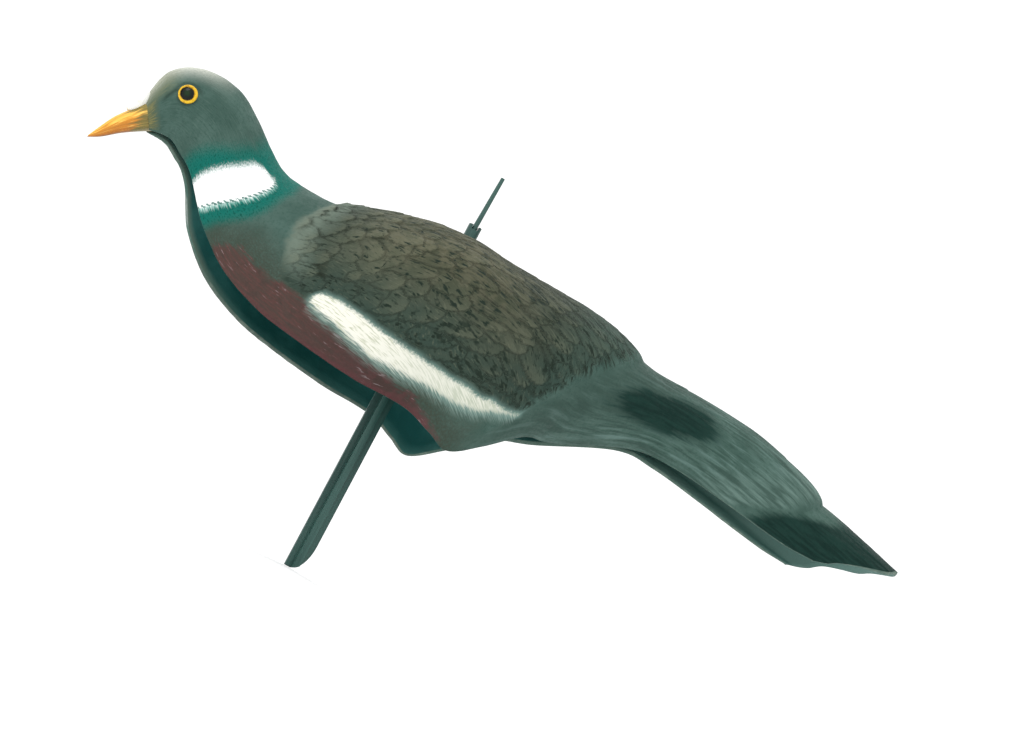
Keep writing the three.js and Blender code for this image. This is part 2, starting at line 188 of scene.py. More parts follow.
# %% The grid and its measures
HEAD_COLUMNS, WING_COLUMNS, TAIL_COLUMNS = 96, 216, 88
WING_FROM, WING_TO = 0.38, 0.79
ROWS = 200
FINER = 4                # the inside has one row and one column for every four outside
u_line = np.concatenate([np.linspace(0, WING_FROM, HEAD_COLUMNS, endpoint=False),
                         np.linspace(WING_FROM, WING_TO, WING_COLUMNS, endpoint=False),
                         np.linspace(WING_TO, 1, TAIL_COLUMNS + 1)])
side_line = np.linspace(-1, 1, ROWS + 1)
U, SIDE = np.meshgrid(u_line, side_line, indexing="ij")
V = np.abs(SIDE)
plain = skin(U, SIDE)
outward = skin_normal(U, SIDE)


def running_length(points, axis):
    """Distance walked along a grid line: the sum of the steps so far."""
    steps = np.linalg.norm(np.diff(points, axis=axis), axis=-1)
    pad = [(0, 0), (0, 0)]
    pad[axis] = (1, 0)
    return np.pad(np.cumsum(steps, axis=axis), pad)


girth = running_length(plain, 1)
girth -= girth[:, ROWS // 2][:, None]
half_girth = np.abs(girth[:, -1])[:, None]
reach_line = running_length(plain, 0)[:, ROWS // 4]
REACH = np.broadcast_to(reach_line[:, None], U.shape)


def reach_at(u):
    """Distance along the flank at a place u."""
    return np.interp(u, u_line, reach_line)


def behind(u):
    """How far each point lies behind a place u, along the flank: negative before it."""
    return REACH - reach_at(u)


print("flank", round(reach_line[-1] / MM), "mm long, half girth up to", round(half_girth.max() / MM), "mm")

# %% [markdown]
# ## Wings and tail coverts
# The folded wings stand a little proud of the body, and the coverts end on the tail in a round edge.
# Both are heights over the plain skin: smooth steps that are 1 inside a drawn border and 0 outside.

# %% Wings and coverts
# u at six even heights from the ridge to the rim
WING_FRONT = [0.413, 0.402, 0.390, 0.386, 0.403, 0.436]
WING_REAR = [0.781, 0.776, 0.765, 0.742, 0.706, 0.655]
COVERT_REAR = [0.943, 0.9415, 0.9375, 0.929, 0.912, 0.885]
WING_FOOT = 0.93
WING_STEP, COVERT_STEP = 1.2 * MM, 5.2 * MM
REAR_SWELL = 1.1         # how much higher the wing's ridge stands at the rump
EDGE = 0.014
ROUND_RUN = 2.5 * EDGE


def step(a, b, x):
    """0 below a, 1 above b, and 3t2 - 2t3 between."""
    t = np.clip((x - a) / (b - a), 0, 1)
    return t * t * (3 - 2 * t)


def border(places):
    """A line drawn on the skin, smooth between the places that are given."""
    return smooth_row(np.array(places), V)


def round_end(inside):
    """A quarter circle that rises from 0 at a border to 1 at the end of its run inside it."""
    t = np.clip(inside / ROUND_RUN, 0, 1)
    return np.sqrt(t * (2 - t))


wing_front, wing_rear = border(WING_FRONT), border(WING_REAR)
on_wing = step(0, EDGE, U - wing_front) * round_end(wing_rear - U) * step(0, 1 - WING_FOOT, 1 - V)
wing_rise = WING_STEP * (1 + REAR_SWELL * step(0.62, 0.74, U) * (1 - step(0.15, 0.55, V)))
covert_end = border(COVERT_REAR)
coverts = COVERT_STEP * step(0.79, 0.91, U) * round_end(covert_end - U)
masses = wing_rise * on_wing + coverts * np.cos(V * np.pi / 2)
print("wings cover", round(float((on_wing > 0.5).mean()), 2), "of the skin")

# %% [markdown]
# ## Feathers
# Carved feathers overlap like roof slates. Each one is a tilted plate with a round tip: it rises
# from its root to its tip. Where plates overlap, the highest one shows, so a single maximum over
# the nearest plates lays the whole coat. Every plate is moved, turned and sized a little by a
# number that comes from its own place in the coat, so no two are alike and each run is the same.
# The white bar under the wing is measured first, because the feathers stop at its upper edge.

# %% Measures for borders, and the white wing bar
def inside_of(*distances):
    """In mm: the distance inside an area with several borders is the smallest of them."""
    return np.minimum.reduce(distances) / MM


def past(u_at_v, heights):
    """In mm: distance along the flank behind a line given as u at a list of heights."""
    return behind(np.interp(V, heights, u_at_v)) / MM


def under(v_at_u, places):
    """Distance down the flank below a line given as a height at a list of places."""
    return (V - np.interp(U, places, v_at_u)) * half_girth


BAR_FRONT, BAR_REAR = .4445, .684
# the bar's upper and lower edge: places and the heights there
TOP_U = [.442, .444, .450, .464, .478, .493, .515, .541, .569, .604, .641, .665, .683]
TOP_V = [.847, .827, .803, .798, .806, .820, .834, .845, .835, .813, .815, .850, .874]
LOW_U = [.444, .449, .459, .472, .486, .500, .530, .555, .585, .618, .648, .669, .683]
LOW_V = [.848, .859, .872, .878, .897, .909, .914, .901, .885, .860, .854, .868, .880]
bar_top = inside_of(under(TOP_V, TOP_U), behind(BAR_FRONT), -behind(BAR_REAR))
bar_low = inside_of(-under(LOW_V, LOW_U), behind(BAR_FRONT), -behind(BAR_REAR))
# the feathers stop at the bar, and at a line that carries its upper edge on to both sides
wing_under = -under([.847, .847] + TOP_V[2:] + [.93], [.40, .442] + TOP_U[2:] + [.72]) / MM
print("wing bar", round(float((np.minimum(bar_top, bar_low) > 0).mean()), 3), "of the skin")

# %% Repeatable chance and soft noise
CHANCE_WAVES, CHANCE_SCALE = (127.1, 311.7, 74.7), 43758.5453     # any large, uneven numbers do


def chance(i, j, seed):
    """A number from 0 to 1 for a cell: the fraction of a large sine of its place."""
    wave = np.sin(i * CHANCE_WAVES[0] + j * CHANCE_WAVES[1] + seed * CHANCE_WAVES[2])
    return np.modf(np.abs(wave * CHANCE_SCALE))[0]


def soft_noise(x, y, seed):
    """Chance at the four corners of a cell, blended smoothly; from -1 to 1."""
    i, j = np.floor(x), np.floor(y)
    fx, fy = step(0, 1, x - i), step(0, 1, y - j)
    low = chance(i, j, seed) * (1 - fx) + chance(i + 1, j, seed) * fx
    high = chance(i, j + 1, seed) * (1 - fx) + chance(i + 1, j + 1, seed) * fx
    return 2 * (low * (1 - fy) + high * fy) - 1


print("chance in three cells", np.round(chance(np.arange(3), 0, 1), 2))

# %% Plates of feathers
STRAY, TURN_SPREAD = (0.8, 0.6), 0.5     # pitches off the even place, and radians
LIP = 0.1                # a plate has its full height from here inwards
SHADOW_REACH = 0.16      # how far a shadow reaches out from under a tip


def uneven(i, j, seed):
    """A factor by chance, from three quarters to five quarters."""
    return 0.75 + 0.5 * chance(i, j, seed)


def lay_feathers(s, g, pitch, size, turn, seed):
    """The highest of the plates near each point. A plate is 0 at its root and 1 at its tip, falls
    off beyond the ellipse of its size, and points along an angle turned away from the back. Also
    gives the shadow beside a tip, the place on the plate that shows, and a number of its own."""
    rank, file = np.floor(s / pitch[0]), np.floor(g / pitch[1])
    height = np.zeros(s.shape)
    barb_x, barb_y, name = (np.zeros(s.shape) for _ in range(3))
    plates = []
    for di in (-2, -1, 0, 1):
        for dj in (-1, 0, 1):
            i, j = rank + di, file + dj
            ms = (i + 0.5 + STRAY[0] * (chance(i, j, seed) - 0.5)) * pitch[0]
            across = STRAY[1] * (chance(i, j, seed + 1) - 0.5)
            mg = (j + 0.5 + 0.5 * np.mod(i, 2) + across) * pitch[1]
            angle = turn(ms, mg) + TURN_SPREAD * (chance(i, j, seed + 2) - 0.5)
            grow = uneven(i, j, seed + 3)
            x = ((s - ms) * np.cos(angle) + (g - mg) * np.sin(angle)) / (size[0] * grow)
            y = (-(s - ms) * np.sin(angle) + (g - mg) * np.cos(angle)) / (size[1] * grow)
            inside = 1 - np.hypot(np.maximum(x, 0), y)
            plate = (0.5 + 0.5 * np.clip(x, -1, 1)) * uneven(i, j, seed + 4) - 0.2 * y * y
            plates.append((plate, inside, step(-0.5, 0.5, x)))
            shown = plate * step(0, LIP, inside)
            top = shown > height
            height = np.where(top, shown, height)
            barb_x, barb_y = np.where(top, x, barb_x), np.where(top, y, barb_y)
            name = np.where(top, chance(i, j, seed + 5), name)
    tip_shadow = np.zeros(s.shape)
    for plate, inside, at_tip in plates:
        over = (plate > height) & (inside < LIP)
        shadow = at_tip * np.exp(-np.maximum(LIP - inside, 0) / SHADOW_REACH)
        tip_shadow = np.maximum(tip_shadow, np.where(over, shadow, 0))
    return height, tip_shadow, barb_x, barb_y, name


print("three plates grow by", np.round(uneven(np.arange(3), 0, 11), 2))

# %% The wing's feathers
TURN_RUN, TURN_GIRTH, MOST_TURN = 0.09, 0.075, 1.15     # metres back, metres down, radians


def feather_turn(s, g):
    """Along the back at the ridge, and turned down the flank in proportion to the girth. The turn
    grows further back, to the most that is allowed."""
    down = np.minimum((0.30 + 0.95 * np.clip(s / TURN_RUN, 0, 1)) * np.abs(g) / TURN_GIRTH, MOST_TURN)
    return np.sign(g) * down


FEATHER_SWAY = 3.5 * MM
FEATHER_PITCH, FEATHER_HALF = (7.6 * MM, 8.0 * MM), (9.2 * MM, 5.8 * MM)
SPREAD = 0.30            # how much the coat is drawn out lengthways further back
wing_s = behind(0.40) + FEATHER_SWAY * soft_noise(REACH / 0.021, girth / 0.019, 3)
wing_g = girth + FEATHER_SWAY * soft_noise(REACH / 0.023, girth / 0.017, 8)
further_back = step(0.03, 0.11, wing_s)
scale, scale_shadow, barb_x, barb_y, feather_name = lay_feathers(
    wing_s * (1 - SPREAD * further_back), wing_g * (1 + SPREAD * further_back),
    FEATHER_PITCH, FEATHER_HALF, feather_turn, 11)
print("feathers show a height of", round(float(scale.mean()), 2), "plates on average")

# %% Where feathers are carved
FRONT_RELIEF, RELIEF_LOSS = 1.20, 0.90     # mm at the shoulder, and what is lost behind it
from_front, to_rear = behind(wing_front) / MM, behind(wing_rear) / MM
feathered = step(1, 9, from_front) * step(-1, 7, -to_rear) * step(-0.5, 2.5, wing_under)
carved = feathered * step(2, 13, wing_under)
lower_wing = step(0.46, 0.66, V)
front_relief = FRONT_RELIEF - RELIEF_LOSS * step(0.43, 0.58, U)
scale_relief = front_relief * (1 - 0.7 * lower_wing) * MM * carved
print("feathers up to", round(float((scale * scale_relief).max() / MM), 2), "mm high")

# %% Tail coverts
COVERT_PITCH, COVERT_HALF = (20 * MM, 12 * MM), (22 * MM, 8.5 * MM)
covert_s = REACH + 2 * MM * soft_noise(REACH / 0.03, girth / 0.014, 31)
covert_g = girth + 1.4 * MM * soft_noise(REACH / 0.035, girth / 0.02, 37)
long_plate = lay_feathers(covert_s, covert_g, COVERT_PITCH, COVERT_HALF, lambda s, g: 0 * s, 51)[0]
long_strand = soft_noise(covert_s / 0.012, covert_g / 0.0026, 41)
lower_flank = step(0.62, 0.70, U) * step(0.86, 0.95, V)
on_rear = np.maximum(step(-0.01, 0.03, U - wing_rear), lower_flank) * step(0, 0.012, covert_end - U)
print("coverts cover", round(float((on_rear > 0.5).mean()), 2), "of the skin")

# %% The notched tail, and all the carving
TAIL_FEATHERS = 4
# how far the end falls short, in mm, from the left edge over the back to the right edge
TAIL_TIPS = [4.6, 3.4, 4.2, 3.4, 1.8, 0.4, 1.4, 0.8, 0.0, 0.8, 1.4, 0.4, 1.8, 2.6, 0.6, 0.4, 1.8]
# heights in mm: hairs of the wing, plates and hairs of the coverts, laps of the tail, grain of the rest
WING_HAIR, COVERT_PLATE, COVERT_HAIR, TAIL_LAP, BODY_GRAIN = 0.16, 0.50, 0.14, 0.25, 0.12
tail_reach = -smooth_row(np.array(TAIL_TIPS), (1 + SIDE) / 2) * MM * step(0.93, 1, U)
on_tail = step(0, 0.01, U - covert_end)
tail_lap = np.mod(V * TAIL_FEATHERS + 0.5, 1.0)
strand = soft_noise(barb_x * 1.3 + 9 * feather_name, barb_y * 4.5 + 5 * feather_name, 21)
body_grain = soft_noise(REACH / 0.0035, girth / 0.0022, 61)
carving = scale * scale_relief + WING_HAIR * MM * strand * feathered
carving += (COVERT_PLATE * long_plate + COVERT_HAIR * long_strand) * MM * on_rear * step(0, 0.05, 1 - V)
carving += TAIL_LAP * MM * tail_lap * on_tail * step(0.05, 0.2, V)
carving += BODY_GRAIN * MM * body_grain * (1 - feathered) * (1 - on_rear)
print("carving up to", round(float(carving.max() / MM), 2), "mm high")

# %% [markdown]
# ## One closed shell
# The moulding has an outside, an inside two millimetres behind it, and a cut edge all round. The
# outside needs a fine grid for its carving and the smooth inside does not, so the inside takes
# every fourth point, and fans of triangles join the fine edge to the coarse one. The peg's hole is
# cut with a boolean, the way a moulder drills it.

# %% Outside and inside
HOLLOW_START = 0.03      # the inside starts this far behind the forehead
HOLLOW_FOLLOW = 0.8      # and follows the raised wings by this share
back_end = skin(1, 0) - skin(0.97, 0)
back_end /= np.linalg.norm(back_end)
tail_shift = tail_reach[..., None] * back_end
outside = plain + outward * (masses + carving)[..., None] + tail_shift
inner_u = HOLLOW_START + U * (1 - HOLLOW_START)
inward = (HOLLOW_FOLLOW * masses - WALL)[..., None]
inside_skin = skin(inner_u, SIDE) + skin_normal(inner_u, SIDE) * inward + tail_shift


def ring(grid):
    """The border of a grid, once round, so that it meets itself."""
    return np.concatenate([grid[:-1, 0], grid[-1, :-1], grid[:0:-1, -1], grid[0, :0:-1]])


def grid_faces(first, rows, columns):
    """Four corners for each cell of a grid of points that is stored row after row."""
    at = first + np.arange(rows * columns).reshape(rows, columns)
    return np.stack([at[:-1, :-1], at[1:, :-1], at[1:, 1:], at[:-1, 1:]], -1).reshape(-1, 4)


print("outside", outside.shape[:2], "points,", len(ring(outside)), "of them on the border")

# %% One mesh round the cut edge
EDGE_SHARES = (0.14, 0.5, 0.86)     # the edge's rows, from the outer border to the inner one
EDGE_BULGE = 0.35 * MM


def close_shell(outside, inside_skin):
    """Outer grid, rows round the cut edge, inner grid. The edge rows lie on an arc from the outer
    border to the inner one, pushed away from the wall by the bulge times the root of a sine."""
    nu, nv = outside.shape[:2]
    coarse = inside_skin[::FINER, ::FINER]
    cu, cv = coarse.shape[:2]
    outer_ids = np.arange(nu * nv).reshape(nu, nv)
    coarse_ids = nu * nv + np.arange(cu * cv).reshape(cu, cv)
    outer_ring, inner_ring = ring(outside), ring(inside_skin)
    rows_in = np.concatenate([outside[1:2], outside[1:-1], outside[-2:-1]])
    away = outer_ring - ring(rows_in[:, np.r_[1, 1:nv - 1, nv - 2]])
    away /= np.linalg.norm(away, axis=-1, keepdims=True)
    edge_rows = [outer_ring + (inner_ring - outer_ring) * share
                 + away * EDGE_BULGE * np.sin(share * np.pi) ** 0.5 for share in EDGE_SHARES]
    points = np.concatenate([outside.reshape(-1, 3), coarse.reshape(-1, 3)] + edge_rows)
    first, around = nu * nv + cu * cv, len(outer_ring)
    rings = [ring(outer_ids)] + [first + k * around + np.arange(around) for k in range(len(edge_rows))]
    quads = [grid_faces(0, nu, nv), grid_faces(nu * nv, cu, cv)[:, ::-1]]
    for a, b in zip(rings[:-1], rings[1:]):
        quads.append(np.stack([np.roll(a, -1), a, b, np.roll(b, -1)], -1))
    last = rings[-1]
    near = np.roll(np.repeat(ring(coarse_ids), FINER), -(FINER // 2))
    changes = near != np.roll(near, -1)
    fans = np.stack([np.roll(last, -1), last, near], -1)
    joins = np.stack([np.roll(last, -1), near, np.roll(near, -1)], -1)[changes]
    return points, quads, [fans, joins]


points, quads, triangles = close_shell(outside, inside_skin)
triangle_count = 2 * sum(len(q) for q in quads) + sum(len(t) for t in triangles)
print("shell has", len(points), "points and", triangle_count, "triangles")


# %% Turn arrays into a mesh
def make_mesh(name, points, faces):
    """A mesh from arrays: one long list of corners, and where each face starts in it."""
    mesh = bpy.data.meshes.new(name)
    corners = np.concatenate([f.reshape(-1) for f in faces]).astype(np.int32)
    sizes = np.concatenate([np.full(len(f), f.shape[1]) for f in faces])
    starts = np.concatenate([[0], np.cumsum(sizes)[:-1]]).astype(np.int32)
    mesh.vertices.add(len(points))
    mesh.vertices.foreach_set("co", points.astype(np.float32).reshape(-1))
    mesh.loops.add(len(corners))
    mesh.loops.foreach_set("vertex_index", corners)
    mesh.polygons.add(len(sizes))
    mesh.polygons.foreach_set("loop_start", starts)
    mesh.polygons.foreach_set("loop_total", sizes.astype(np.int32))
    mesh.update(calc_edges=True)
    mesh.validate()
    mesh.shade_smooth()
    return put(name, mesh)


def check_closed(piece):
    """Counts edges that don't have two faces, and the volume, which is positive if faces look out."""
    work = bmesh.new()
    work.from_mesh(piece.data)
    odd = sum(len(e.link_faces) != 2 for e in work.edges)
    volume = work.calc_volume(signed=True)
    work.free()
    print(piece.name, "open edges", odd, "volume", round(volume * 1e6, 2), "cm3")


bird = make_mesh("painted_shell", points, quads + triangles)
check_closed(bird)

# %% [markdown]
# ## Where the paint lies
# The paint follows the skin, not the air around it. So each painted area is stored on the points
# as a number: for a sharp area the distance in millimetres from its border, positive inside, and
# for an airbrushed one a share from 0 to 1. The nodes later roughen those borders with noise.

# %% Neck
def band(a, b, c, d, x):
    """Rises from 0 to 1 between a and b, and falls again between c and d."""
    return step(a, b, x) * (1 - step(c, d, x))


HEIGHTS = [0, .386, .407, .479, .640, .740, .830, .930, 1]
patch_front = past([.345, .332, .312, .295, .282, .271, .259, .248, .249], HEIGHTS)
patch_rear = past([.330, .338, .341, .344, .339, .333, .325, .316, .311], HEIGHTS)
dash_line = past([.338, .338, .339, .341, .335, .329, .320, .310, .304], HEIGHTS)
neck_patch = np.minimum(patch_front, (V - 0.388) * half_girth / MM)
green_front = past([.302, .302, .304, .295, .280, .264, .246, .228, .224], HEIGHTS)
green_rear = past([.350, .348, .346, .344, .342, .337, .328, .319, .316], HEIGHTS)
green = step(-18, 1, green_front) * (1 - step(2, 12, green_rear))
print("neck patch", round(float((np.minimum(neck_patch, -patch_rear) > 0).mean()), 3), "of the skin")

# %% Breast, rump and tail
breast = inside_of(
    under([1, .950, .866, .868, .871, .842, .849, .853, .883, .890, .915, .945, .962, .992],
          [.350, .357, .370, .392, .406, .420, .433, .444, .453, .470, .494, .522, .555, .592]),
    behind(.352), -behind(.598))
rim_line = step(.980, .995, V) * band(.38, .43, .56, .60, U)
tail_dark = past([.961, .959, .958, .951, .938, .926, .914, .906, .900],
                 [0, .227, .387, .487, .576, .690, .780, .890, 1])
rump_front = band(-8, 6, 12, 55, to_rear)
SPOT_AT, SPOT_HALF = (.804, .63), (28, 11.5)     # place, and half length and height in mm
SPOT_SQUARE, SPOT_DEPTH = 2.6, 11        # power of its rounded corners, and mm from middle to border
spot_x = behind(SPOT_AT[0]) / MM
spot_y = (V - SPOT_AT[1]) * half_girth / MM + 0.2 * spot_x
spot_far = (np.abs(spot_x) / SPOT_HALF[0]) ** SPOT_SQUARE + (np.abs(spot_y) / SPOT_HALF[1]) ** SPOT_SQUARE
rump_spot = SPOT_DEPTH * (1 - spot_far ** (1 / SPOT_SQUARE))
print("breast covers", round(float((breast > 0).mean()), 2), "of the skin")

# %% Wings
wing = step(-2, 7, from_front) * step(-2, 14, -to_rear) * step(-0.5, 1.5, wing_under)
brown = (1 - step(.40, .80, V)) * (1 - 0.85 * step(.57, .72, U)) * step(8, 42, from_front)
shoulder = band(-6, 3, 6, 20, from_front) * band(.03, .15, .70, .84, V)
teal = np.maximum(step(-48, -8, to_rear), 0.6 * step(.58, .78, V))
# painted shadow beside each feather's tip, fading out behind the shoulder and low on the wing
tip_shadow = scale_shadow * carved * (1 - 0.85 * step(.41, .52, U)) * (1 - 0.9 * lower_wing)
# painted shade in the hollows near each feather's root, where the feather in front overlaps it
hollow = carved * (1 - step(0.05, 0.65, scale))
# lighter feather tips: partly their paler edges, partly a painted highlight on the raised tops
tip = carved * step(0.6, 1.1, scale)
print("hollows cover", round(float((hollow > 0.5).mean()), 2), "of the skin")

# %% Head
EYE_AT = (.122, .625)
eye_x = behind(EYE_AT[0]) / MM
eye_y = (V - EYE_AT[1]) * half_girth / MM
from_eye = np.hypot(eye_x, eye_y)
LORE_AT, LORE_TURN = (-8.2, -1.3), (0.93, 0.37)     # mm from the eye, and the stripe's direction
lore_x, lore_y = eye_x - LORE_AT[0], eye_y - LORE_AT[1]
lore_across = LORE_TURN[1] * lore_x + LORE_TURN[0] * lore_y
lore_along = LORE_TURN[0] * lore_x - LORE_TURN[1] * lore_y
stripe = np.exp(-(lore_across / 1.2) ** 2 - (lore_along / 4.6) ** 4)
# painted shade round the eye: an arc above it and a ring about its rim; the stripe is a dark stripe in
# front of it
brow_shade = np.exp(-((from_eye - 6.3) / 1.0) ** 2) * step(1, 4, -eye_y)
socket_shade = np.exp(-((from_eye - 5.0) / 0.7) ** 2) * step(-1, 2, eye_y)
lore_and_eye_shade = np.maximum.reduce([stripe, 0.8 * brow_shade, socket_shade])
# a pale cap on the crown: partly a paler grey, partly a painted highlight of the light from above
crown = (1 - step(.08, .50, V)) * (1 - step(.13, .21, U))
forehead = (1 - step(.07, .12, U)) * (1 - step(.42, .66, V))
beak_root = (1 - step(0.5, 9.0, REACH / MM)) * band(.40, .56, .93, .99, V)
print("eye is", round(float(reach_at(EYE_AT[0])) / MM), "mm behind the beak's root")

# %% Numbers on the points
def store(piece, name, values):
    """A number for each point, which the paint can read. Points past the end get 0."""
    full = np.zeros(len(piece.data.vertices), np.float32)
    flat = np.asarray(values, np.float32).reshape(-1)
    full[:len(flat)] = flat
    piece.data.attributes.new(name, "FLOAT", "POINT").data.foreach_set("value", full)


coarse_u, coarse_v = U[::FINER, ::FINER], V[::FINER, ::FINER]
OUT, FAR = -9, -20       # mm: what a sharp area says on the inside, where it doesn't show
for name, values, filler in [
        ("bar_top", bar_top, OUT), ("bar_low", bar_low, OUT), ("neck_patch", neck_patch, OUT),
        ("patch_rear", patch_rear, -OUT), ("green", green, 0), ("breast", breast, FAR),
        ("rim_line", rim_line, 0), ("tail_dark", tail_dark, OUT), ("rump_spot", rump_spot, OUT),
        ("lore_and_eye_shade", lore_and_eye_shade, 0), ("crown", crown, 0), ("forehead", forehead, 0), ("beak_root", beak_root, 0),
        ("wing", wing, 0), ("brown", brown, 0), ("shoulder", shoulder, 0), ("teal", teal, 0),
        ("rump_front", rump_front, 0), ("tip_shadow", tip_shadow, 0), ("hollow", hollow, 0), ("tip", tip, 0),
        ("feathered", feathered, 0), ("rear", on_rear, 0), ("dash_line", dash_line, OUT),
        ("girth", girth / MM, 0), ("backward", U, 0)]:
    beside = np.tile(ring(values), len(EDGE_SHARES))     # the cut edge carries on the skin's paint
    store(bird, name, np.concatenate([values.ravel(), np.full(coarse_v.size, filler), beside]))
print("stored", len(bird.data.attributes), "attributes")

# %% The inside and the cut edge
inside_points = slice(U.size, U.size + coarse_v.size)
inner, overspray_and_painted_light, tail_inside, tail_fold_shadow, cut = (np.zeros(len(points)) for _ in range(5))
inner[inside_points] = 1
# lighter paint inside near the rim: overspray, and painted light where the far wall is lit from outside
overspray_and_painted_light[inside_points] = (step(.955, .99, coarse_v) * (1 - 0.8 * step(.33, .42, coarse_u))).ravel()
# the tail's inside a lighter grey-green: partly overspray, partly painted light from the floor below
tail_inside[inside_points] = step(.72, .84, coarse_u).ravel()
# painted shadow in the fold where the tail's inner floor meets its side wall
fold = np.exp(-((coarse_v - np.interp(coarse_u, [.70, .98], [.84, .97])) / .035) ** 2)
tail_fold_shadow[inside_points] = tail_inside[inside_points] * fold.ravel()
cut[inside_points.stop:] = np.tile(ring(step(0, .03, U)), len(EDGE_SHARES))
# on the tail the outer skin's last row takes the edge's lighter paint: a painted highlight along the rim
cut[:U.size] = ((V == 1) * step(.80, .88, U)).ravel()
for name, values in [("inner", inner), ("overspray_and_painted_light", overspray_and_painted_light), ("tail_inside", tail_inside),
                     ("tail_fold_shadow", tail_fold_shadow), ("cut", cut)]:
    store(bird, name, values)
print(int(inner.sum()), "points lie inside and", int((cut > 0.5).sum()), "on the cut edge")


# %% Directions for streaks, hatching and barbs
def store_vector(piece, name, x, y, z):
    """Three numbers for each point, for a pattern that follows the surface."""
    full = np.zeros((len(piece.data.vertices), 3), np.float32)
    flat = np.stack([np.ravel(x), np.ravel(y), np.ravel(z)], 1)
    full[:len(flat)] = flat
    piece.data.attributes.new(name, "FLOAT_VECTOR", "POINT").data.foreach_set("vector", full.reshape(-1))


FLOW_WIDTH = 95          # the streaks follow the lower edge, as if the bird were this wide all along
HATCH = np.radians(28)   # the bar's fine lines cross it at this angle
BARB_LONG, BARB_WIDE = 9.5, 6.2     # mm from a feather's middle to its tip and to its side
long_mm, girth_mm, side_sign = REACH / MM, girth / MM, np.sign(SIDE)
streak_sway = 2.0 * soft_noise(REACH / 0.030, SIDE * 5, 71)
store_vector(bird, "flow_mm", long_mm, SIDE * FLOW_WIDTH + streak_sway, 0 * U)
store_vector(bird, "hatch_mm", long_mm * np.cos(HATCH) + girth_mm * np.sin(HATCH) * side_sign,
             girth_mm * np.cos(HATCH) - long_mm * np.sin(HATCH) * side_sign, 0 * U)
store_vector(bird, "barb_mm", barb_x * BARB_LONG + 40 * feather_name, barb_y * BARB_WIDE, 60 * feather_name)
print("now", len(bird.data.attributes), "attributes")

# %% [markdown]
# ## Paint and plastic as nodes
# A material is a small graph. A few helpers keep it readable: one to add a node with its sockets
# filled or linked, one for noise that is stretched along the feathers, and one to lay a coat of
# colour over what is below it. Colours are written as a painter reads them off a chart, 0 to 255.

# %% Colours and sums as nodes
def paint(r, g, b):
    """A chart colour as light: (c + 0.055) / 1.055 to the power 2.4."""
    return tuple(((c / 255 + 0.055) / 1.055) ** 2.4 for c in (r, g, b)) + (1.0,)


def add(tree, kind, sockets=(), **settings):
    """Adds a node. sockets gives each input, by place or name, a value or a link from a node."""
    node = tree.nodes.new("ShaderNode" + kind)
    for key, value in settings.items():
        setattr(node, key, value)
    for key, value in dict(sockets).items():
        if isinstance(value, bpy.types.NodeSocket):
            tree.links.new(value, node.inputs[key])
        else:
            node.inputs[key].default_value = value
    return node


def graph_of(*values):
    """The node graph that the first socket among the values belongs to."""
    return next(v.id_data for v in values if isinstance(v, bpy.types.NodeSocket))


def maths(operation, a, b):
    """One sum of two numbers, either of which may be a link."""
    return add(graph_of(a, b), "Math", {0: a, 1: b}, operation=operation).outputs[0]


def times(a, b):
    """a multiplied by b."""
    return maths("MULTIPLY", a, b)


def plus(a, b):
    """a and b added."""
    return maths("ADD", a, b)


def fade(value, low, high, start=0.0, end=1.0):
    """start below low, end above high, and smooth between."""
    sockets = {"Value": value, "From Min": low, "From Max": high, "To Min": start, "To Max": end}
    return add(graph_of(value), "MapRange", sockets, interpolation_type="SMOOTHSTEP").outputs["Result"]


def ragged(noise, reach):
    """Noise that shifts a border, from -reach to reach."""
    return fade(noise, 0.3, 0.7, -reach, reach)


print("a mid grey of 128 is", round(paint(128, 128, 128)[0], 3), "as light")

# %% [markdown]
# ## The painted skin
# The coats go on in the order of the paint shop: grey-green all over, the green neck, the red-brown
# breast, the brown wings with painted shade in the hollows between their feathers and painted shadow
# beside their tips, then the white patches by brush, the airbrushed dark of the tail, and last the bare
# plastic of the inside and the cut edge. Some other coats are painted light too, and say so where they go
# on.

# %% Grains of the brush and the airbrush
def read(tree, name, output="Fac"):
    """What is stored on the points under a name, as a node's output."""
    return add(tree, "Attribute", attribute_name=name).outputs[output]


def solid_place(tree):
    """The place in the solid itself, in metres."""
    return add(tree, "TexCoord").outputs["Object"]


def grain(place, stretch, detail=3.0, roughness=0.55, shift=0.0):
    """Noise over a place whose three axes are scaled by stretch: small numbers make long grains."""
    tree = graph_of(place)
    moved = add(tree, "Mapping", {"Vector": place, "Scale": stretch, "Location": (shift, shift, shift)})
    sockets = {"Vector": moved.outputs[0], "Scale": 1.0, "Detail": detail, "Roughness": roughness}
    return add(tree, "TexNoise", sockets).outputs["Fac"]


def new_material(name, roughness, specular):
    """An empty material with one shader, whose constant gloss is set on the shader itself."""
    material = bpy.data.materials.new(name)
    material.use_nodes = True
    shader = material.node_tree.nodes["Principled BSDF"]
    shader.inputs["Roughness"].default_value = roughness
    shader.inputs["Specular IOR Level"].default_value = specular
    return material, material.node_tree, shader


painted, tree, shader = new_material("painted_shell", 0.7, 0.1)
solid, flow, barb = solid_place(tree), read(tree, "flow_mm", "Vector"), read(tree, "barb_mm", "Vector")
area = {a.name: read(tree, a.name) for a in bird.data.attributes if a.data_type == "FLOAT"}
backward = area["backward"]
cloud = grain(solid, (70, 70, 70), 2)
mottle = grain(solid, (170, 170, 170), 3, 0.6)
speck = grain(solid, (750, 750, 750), 2, 0.6)
long_streak = grain(flow, (0.050, 0.27, 1), 3, 0.58)
streak = grain(flow, (0.14, 0.95, 1), 3, 0.65, 5)
spray = grain(flow, (0.9, 1.1, 1), 2, 0.7, 9)
barb_streak = grain(barb, (0.20, 0.62, 1), 3, 0.60)
barb_hair = grain(barb, (0.30, 1.9, 1), 2, 0.6, 3)
hatch = grain(read(tree, "hatch_mm", "Vector"), (0.16, 1.5, 1), 2, 0.6)
